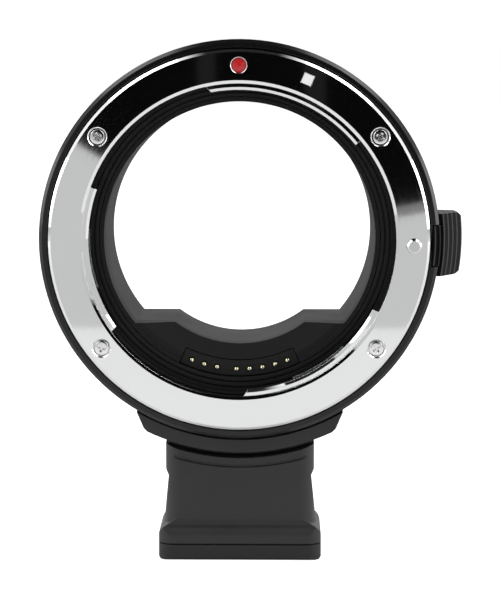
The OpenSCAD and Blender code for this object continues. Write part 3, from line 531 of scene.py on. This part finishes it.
def boolean(piece, other, operation):
    """Joins another solid to the piece or cuts it out, and removes the other."""
    tool = piece.modifiers.new("tool", "BOOLEAN")
    tool.operation, tool.solver, tool.object = operation, "EXACT", other
    clear_selection()
    piece.select_set(True)
    bpy.context.view_layer.objects.active = piece
    bpy.ops.object.modifier_apply(modifier=tool.name)
    bpy.data.objects.remove(other)


# ---------------------------------------------------------------- screws

SCREW_SIDES = 40
PROUD = 0.2 * MM  # how far the cross's cutter stands out of the head
HEAD_EDGE = 0.2 * MM  # height of a countersunk head's straight edge


def cross_cutter(reach, width, depth, taper):
    """Tapered cross that a driver's tip leaves in a screw's head."""
    bars = []
    for turn in (0, 90):
        clear_selection()
        bpy.ops.mesh.primitive_cube_add(size=1, location=(0, 0, 0))
        bar = bpy.context.object
        bar.scale = (2 * reach, width, depth + PROUD)
        bar.location = (0, 0, -(depth - PROUD) / 2)
        bar.rotation_euler = (0, 0, math.radians(turn))
        bpy.ops.object.transform_apply(location=True, rotation=True, scale=True)
        pick(bar, flat_at(-depth))
        widen(taper, -depth)
        bpy.ops.object.mode_set(mode="OBJECT")
        bars.append(bar)
    boolean(*bars, "UNION")
    return bars[0]


def finish_head(piece, head_r, bevel, segments, cutter_sizes):
    """Rounds the head's rim, cuts the driver's cross in it and smooths the screw."""
    pick(piece, rim_at(0, head_r), "EDGE")
    bpy.ops.mesh.bevel(offset=bevel, segments=segments, profile=0.5, affect="EDGES")
    bpy.ops.object.mode_set(mode="OBJECT")
    boolean(piece, cross_cutter(**cutter_sizes), "DIFFERENCE")
    return finish_shape(piece)


def pan_screw(name, head_r, head_t, shank_r, length):
    """Screw with a rounded head and a driver's cross, its head's top at z = 0."""
    piece = cylinder(name, head_r, 0, -head_t, SCREW_SIDES)
    pick(piece, flat_at(-head_t))
    bpy.ops.mesh.inset(thickness=head_r - shank_r)
    raise_face(-length)
    tip = shank_r * 0.35
    bpy.ops.mesh.inset(thickness=tip)
    bpy.ops.transform.translate(value=(0, 0, -tip))
    cross = dict(reach=head_r * 0.62, width=head_r * 0.32, depth=head_t * 0.62, taper=0.62)
    return finish_head(piece, head_r, bevel=head_r * 0.22, segments=4, cutter_sizes=cross)


def sunk_head_screw(name, head_r, head_t, shank_r, length):
    """Countersunk screw with a driver's cross, its head's top at z = 0."""
    piece = cylinder(name, head_r, 0, -HEAD_EDGE, SCREW_SIDES)
    pick(piece, flat_at(-HEAD_EDGE))
    raise_face(-(head_t - HEAD_EDGE))
    widen(shank_r / head_r, -head_t)
    raise_face(-length)
    cross = dict(reach=head_r * 0.55, width=head_r * 0.22, depth=head_t * 0.7, taper=0.42)
    return finish_head(piece, head_r, bevel=head_r * 0.06, segments=2, cutter_sizes=cross)


def clock_point(radius, clock, y):
    """Point at a clock angle about the optical axis, in degrees from the top."""
    a = math.radians(clock)
    return Vector((radius * math.sin(a), y, AXIS_H + radius * math.cos(a)))


def copies(master, name, places, slot_name, *stands_for):
    """A copy of the master with its own mesh at each place; the solids that they stand for are
    hidden.
    """
    for number, (point, outward, turn) in enumerate(places, 1):
        piece = bpy.data.objects.new(f"{name}_{number}", master.data.copy())
        bpy.context.scene.collection.objects.link(piece)
        aim = outward.to_track_quat("Z", "Y").to_matrix().to_4x4()
        spin = Matrix.Rotation(math.radians(turn), 4, "Z")
        piece.data.transform(Matrix.Translation(point) @ aim @ spin)
        piece.data.materials.clear()
        piece.data.materials.append(MATERIALS[slot_name])
        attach(piece, "adapter")
    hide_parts(*stands_for)
    bpy.data.objects.remove(master)


SUNK = 0.1 * MM  # how far the rings' screw heads lie below the bearing faces
PLATE_SUNK = 0.15 * MM  # the same for the base plate

# Clock angle of each screw, and how far its cross is turned
mount_screw = pan_screw(
    "mount_screw", head_r=1.3 * MM, head_t=1.1 * MM, shank_r=0.85 * MM, length=4.1 * MM
)
copies(
    mount_screw,
    "mount_screw",
    [
        (clock_point(SCREW_CIRCLE, clock, FLANGE_Y + SUNK), FORWARD, turn)
        for clock, turn in ((-53.5, 18), (53.5, 62), (128, 33), (-128, 74))
    ],
    "screw_steel",
    "lens_mount_screws",
)

ring_screw = sunk_head_screw(
    "ring_screw", head_r=1.45 * MM, head_t=0.9 * MM, shank_r=0.85 * MM, length=9 * MM
)
copies(
    ring_screw,
    "ring_screw",
    [
        (clock_point(CAMERA_CIRCLE, clock, CAMERA_FLANGE_Y - SUNK), BACKWARD, turn)
        for clock, turn in ((38, 12), (142, 50), (218, 31), (322, 77))
    ],
    "screw_black",
    "camera_mount_screws",
)

plate_screw = sunk_head_screw(
    "plate_screw", head_r=1.9 * MM, head_t=1.2 * MM, shank_r=1.0 * MM, length=5 * MM
)
copies(
    plate_screw,
    "plate_screw",
    [(Vector((side * PLATE_SCREW_X, 0, PLATE_SUNK)), DOWN, 20 * side) for side in (-1, 1)],
    "screw_black",
    "base_screws",
)


# ---------------------------------------------------------------- tripod bush with its thread

BUSH_R, COLLAR_R, BUSH_SIDES = 4.2 * MM, 5.4 * MM, 64
COLLAR_Z, COLLAR_T = 2.66 * MM, 1.2 * MM  # the collar's underside and thickness
TAIL_L = 4.94 * MM  # the bar over the collar
MOUTH_RIM, MOUTH_WIDTH, MOUTH_DEPTH = 0.8 * MM, 0.25 * MM, 0.3 * MM  # rim and chamfer
BORE_L = 7.7 * MM
THREAD_CREST, THREAD_ROOT, THREAD_PITCH, THREAD_TURNS = 2.62 * MM, 3.2 * MM, 1.27 * MM, 5
THREAD_START, THREAD_STEPS = 0.95 * MM, 32  # first height, and parts of one turn
RIDGE_HALF = 0.42  # half the ridge's foot, as a share of the pitch
TURNED_ANGLE = 30  # edges over this many degrees stay sharp on the bush and thread


def tripod_bush():
    """Flanged bush, turned from one bar, with a plain bore that the thread's ridge stands in."""
    piece = cylinder("threaded_bush", BUSH_R, COLLAR_Z, 0, BUSH_SIDES)
    pick(piece, flat_at(COLLAR_Z))
    raise_face(0)
    widen(COLLAR_R / BUSH_R, COLLAR_Z)
    raise_face(COLLAR_T)
    raise_face(0)
    widen(BUSH_R / COLLAR_R, COLLAR_Z + COLLAR_T)
    raise_face(TAIL_L)
    pick(piece, flat_at(0))
    bpy.ops.mesh.inset(thickness=MOUTH_RIM)
    bpy.ops.mesh.inset(thickness=MOUTH_WIDTH)
    bpy.ops.transform.translate(value=(0, 0, MOUTH_DEPTH))
    raise_face(BORE_L)
    return finish_shape(piece, TURNED_ANGLE)


def thread_ridge():
    """Ridge of an inside thread, swept up a helix."""
    clear_selection()
    bpy.ops.mesh.primitive_circle_add(vertices=3, radius=1, fill_type="NGON", location=(0, 0, 0))
    piece = bpy.context.object
    piece.name = "tripod_thread"
    half = RIDGE_HALF * THREAD_PITCH
    corners = ((THREAD_CREST, 0), (THREAD_ROOT, -half), (THREAD_ROOT, half))
    for vertex, (across, up) in zip(piece.data.vertices, corners):
        vertex.co = (across, 0, up + THREAD_START)
    sweep = piece.modifiers.new("helix", "SCREW")
    sweep.axis, sweep.angle, sweep.screw_offset = "Z", 2 * math.pi, THREAD_PITCH
    sweep.iterations, sweep.use_merge_vertices = THREAD_TURNS, False
    sweep.steps = sweep.render_steps = THREAD_STEPS
    bpy.ops.object.modifier_apply(modifier=sweep.name)
    bpy.ops.object.mode_set(mode="EDIT")
    bpy.ops.mesh.select_all(action="SELECT")
    bpy.ops.mesh.remove_doubles(threshold=1e-7)
    bpy.ops.mesh.select_mode(type="EDGE")
    bpy.ops.mesh.select_all(action="DESELECT")
    bpy.ops.mesh.select_non_manifold(extend=False, use_multi_face=False, use_verts=False)
    bpy.ops.mesh.edge_face_add()
    bpy.ops.mesh.select_all(action="SELECT")
    bpy.ops.mesh.normals_make_consistent(inside=False)
    return finish_shape(piece, TURNED_ANGLE)


bush = tripod_bush()
bush.data.materials.append(MATERIALS["bush_brass"])
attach(bush, "adapter")
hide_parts("tripod_bush")

ridge = thread_ridge()
ridge.data.materials.append(MATERIALS["bush_brass"])
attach(ridge, "adapter")


# ---------------------------------------------------------------- stage

FLOOR_FRONT, FLOOR_BACK, FLOOR_HALF = -0.308, 3.0, 2.5
FLOOR_DROP = 0.00005  # the floor lies this far under the foot
FLOOR_TONES = (0.64, 0.66)
FLOOR_LIFT = 0.7  # light that only the camera sees, which brings the floor to white

WALL_TONE = 0.575  # the pale grey that the chrome mirrors at its two sides

# Cards that the chrome mirrors: name, tone, centre, facing, width, height
CARDS = (
    ("grey_wall", WALL_TONE, (0, -0.9, 0.75), BACKWARD, 3.2, 1.9),
    ("dark_upper", 0.02, (0, -0.7, 0.95), BACKWARD, 1.3, 1.1),
    ("grey_side_left", WALL_TONE, (-1.6, -0.475, 0.75), RIGHT, 0.85, 1.9),
    ("grey_side_right", WALL_TONE, (1.6, -0.475, 0.75), LEFT, 0.85, 1.9),
    ("dark_shield", 0.002, (0.0205, -0.3397, 0.1844), BACKWARD, 0.30, 0.30),
    ("grey_shield", 0.2, (0.0239, -0.3399, 0.1814), BACKWARD, 0.30, 0.30),
    ("faint_strip_left", 0.012, (-0.0175, -0.338, 0.085), BACKWARD, 0.006, 0.05),
    ("faint_strip_right", 0.012, (0.0188, -0.338, 0.082), BACKWARD, 0.007, 0.05),
)
ROUND_CARDS = ("dark_shield", "grey_shield")

# Ceiling card: its tone, and how far aside it starts and ends to fade to white
CEILING_TONE, CEILING_FADE = 0.02, (0.26, 0.5)
CEILING_CENTRE, CEILING_WIDTH, CEILING_DEPTH = (0, 0.1, 0.75), 0.54, 1.6


def plain_emitter(name, value):
    material = bpy.data.materials.new(name)
    material.use_nodes = True
    tree = material.node_tree
    tree.nodes.remove(tree.nodes["Principled BSDF"])
    glow = add(tree, "ShaderNodeEmission", (0, 0))
    set_inputs(glow, Color=grey(value), Strength=1.0)
    tree.links.new(glow.outputs[0], tree.nodes["Material Output"].inputs["Surface"])
    return material


def fading_emitter(name, value, start, end):
    """Dark emitter that fades to white towards the two sides of its card."""
    material = plain_emitter(name, 1.0)
    tree = material.node_tree
    parts = add(tree, "ShaderNodeSeparateXYZ", (-700, 0))
    tree.links.new(add(tree, "ShaderNodeTexCoord", (-900, 0)).outputs["Object"], parts.inputs[0])
    aside = math_node(tree, "ABSOLUTE", (-500, 0), parts.outputs[0])
    fade = add(tree, "ShaderNodeMapRange", (-300, 0), interpolation_type="SMOOTHSTEP")
    set_inputs(fade, From_Min=start, From_Max=end, To_Min=value)
    tree.links.new(aside, fade.inputs["Value"])
    tree.links.new(fade.outputs[0], tree.nodes["Emission"].inputs["Strength"])
    return material


def turn_to(holder, direction, front):
    """Turns an object so that its front axis looks along a direction."""
    holder.rotation_mode = "QUATERNION"
    holder.rotation_quaternion = Vector(direction).to_track_quat(front, "Y")


def reflected_card(name, material, centre, facing, width, height):
    """Card of the studio that only shiny surfaces see."""
    clear_selection()
    if name in ROUND_CARDS:
        bpy.ops.mesh.primitive_circle_add(vertices=96, radius=0.5, fill_type="NGON")
    else:
        bpy.ops.mesh.primitive_plane_add(size=1)
    card = bpy.context.object
    card.name = name
    card.scale = (width, height, 1)
    card.location = centre
    turn_to(card, facing, "Z")
    card.data.materials.append(material)
    for flag in ("camera", "diffuse", "shadow", "transmission", "volume_scatter"):
        setattr(card, "visible_" + flag, False)


def studio_floor():
    """Pale table, a little in front of the object and far behind it."""
    clear_selection()
    middle = (FLOOR_FRONT + FLOOR_BACK) / 2
    bpy.ops.mesh.primitive_plane_add(size=1, location=(0, middle, -FLOOR_DROP))
    floor = bpy.context.object
    floor.name = "studio_floor"
    floor.scale = (2 * FLOOR_HALF, FLOOR_BACK - FLOOR_FRONT, 1)
    material = bpy.data.materials.new("pale_table")
    material.use_nodes = True
    tree = material.node_tree
    shader = tree.nodes["Principled BSDF"]
    set_inputs(shader, Roughness=0.9, Specular_IOR_Level=0.0, Emission_Color=grey(1.0))
    coordinates = add(tree, "ShaderNodeTexCoord", (-900, 0)).outputs["Object"]
    texture = noise_node(tree, (-700, 0), coordinates, Scale=40.0)
    tint = add(tree, "ShaderNodeMix", (-400, 0), data_type="RGBA")
    set_inputs(tint, A=grey(FLOOR_TONES[0]), B=grey(FLOOR_TONES[1]))
    tree.links.new(texture.outputs["Fac"], tint.inputs["Factor"])
    tree.links.new(tint.outputs["Result"], shader.inputs["Base Color"])
    path = add(tree, "ShaderNodeLightPath", (-400, -300))
    lift = math_node(tree, "MULTIPLY", (-150, -300), path.outputs["Is Camera Ray"], FLOOR_LIFT)
    tree.links.new(lift, shader.inputs["Emission Strength"])
    floor.data.materials.append(material)


studio_floor()
for name, tone, *place in CARDS:
    reflected_card(name, plain_emitter(name, tone), *place)
reflected_card(
    "dark_ceiling", fading_emitter("dark_ceiling", CEILING_TONE, *CEILING_FADE),
    CEILING_CENTRE, DOWN, CEILING_WIDTH, CEILING_DEPTH,
)


# ---------------------------------------------------------------- lamps and world

# Name, place, the point it is aimed at, width, height, watts
SOFTBOXES = (
    ("left_softbox", (-0.75, -0.35, 0.75), (0, 0, 0.05), 0.6, 0.8, 3.0),
    ("right_softbox", (0.75, -0.35, 0.75), (0, 0, 0.05), 0.6, 0.8, 3.5),
    ("top_left_softbox", (-0.40, 0.0, 0.75), (-0.02, 0, 0.08), 0.24, 0.5, 0.8),
    ("top_right_softbox", (0.40, 0.0, 0.75), (0.02, 0, 0.08), 0.24, 0.5, 0.8),
    ("low_left_softbox", (-0.6, -0.05, 0.16), (0, 0, 0.03), 0.2, 0.24, 0.5),
    ("low_right_softbox", (0.6, -0.05, 0.16), (0, 0, 0.03), 0.2, 0.24, 0.5),
    ("rear_softbox", (0.0, 1.0, 0.7), (0, 0, 0.05), 0.9, 0.6, 1.5),
)
STUDIO_LIGHT = 0.67  # how brightly the walls of the studio light the object


def softbox(name, place, aim, width, height, power):
    lamp = bpy.data.lights.new(name, "AREA")
    lamp.shape, lamp.size, lamp.size_y, lamp.energy = "RECTANGLE", width, height, power
    holder = bpy.data.objects.new(name, lamp)
    bpy.context.scene.collection.objects.link(holder)
    holder.location = place
    holder.visible_camera = False
    turn_to(holder, Vector(aim) - Vector(place), "-Z")


def studio_world():
    """Even light for the object, and plain white for the camera, mirrors and glass."""
    world = bpy.data.worlds.new("studio")
    world.use_nodes = True
    bpy.context.scene.world = world
    tree = world.node_tree
    light = tree.nodes["Background"]
    set_inputs(light, Color=grey(1.0), Strength=STUDIO_LIGHT)
    seen = add(tree, "ShaderNodeBackground", (0, -200))
    set_inputs(seen, Color=grey(1.0))
    rays = add(tree, "ShaderNodeLightPath", (-500, 300)).outputs
    shown = rays["Is Camera Ray"]
    for column, kind in ((-300, "Is Glossy Ray"), (-100, "Is Transmission Ray")):
        shown = math_node(tree, "MAXIMUM", (column, 300), shown, rays[kind])
    choice = add(tree, "ShaderNodeMixShader", (300, 0))
    for slot, value in enumerate((shown, light.outputs[0], seen.outputs[0])):
        tree.links.new(value, choice.inputs[slot])
    tree.links.new(choice.outputs[0], tree.nodes["World Output"].inputs["Surface"])


for row in SOFTBOXES:
    softbox(*row)
studio_world()
bpy.context.scene.view_settings.view_transform = "Standard"


# ---------------------------------------------------------------- camera

CAMERA_PLACE = (0.00667, -0.33967, 0.08783)
CAMERA_YAW, CAMERA_PITCH = math.radians(-0.837), math.radians(-5.488)
SENSOR, FOCAL_LENGTH = 36, 116.15  # in millimetres
SHIFT_Y = -0.1  # the frame lies lower than the lens points, as the photo's does

camera = bpy.data.objects.new("camera", bpy.data.cameras.new("camera"))
bpy.context.scene.collection.objects.link(camera)
bpy.context.scene.camera = camera
camera.data.sensor_width = SENSOR
camera.data.lens = FOCAL_LENGTH
camera.data.shift_y = SHIFT_Y
camera.data.clip_start, camera.data.clip_end = 0.02, 20
camera.location = CAMERA_PLACE
across = math.cos(CAMERA_PITCH)
look = (math.sin(CAMERA_YAW) * across, math.cos(CAMERA_YAW) * across, math.sin(CAMERA_PITCH))
turn_to(camera, look, "-Z")
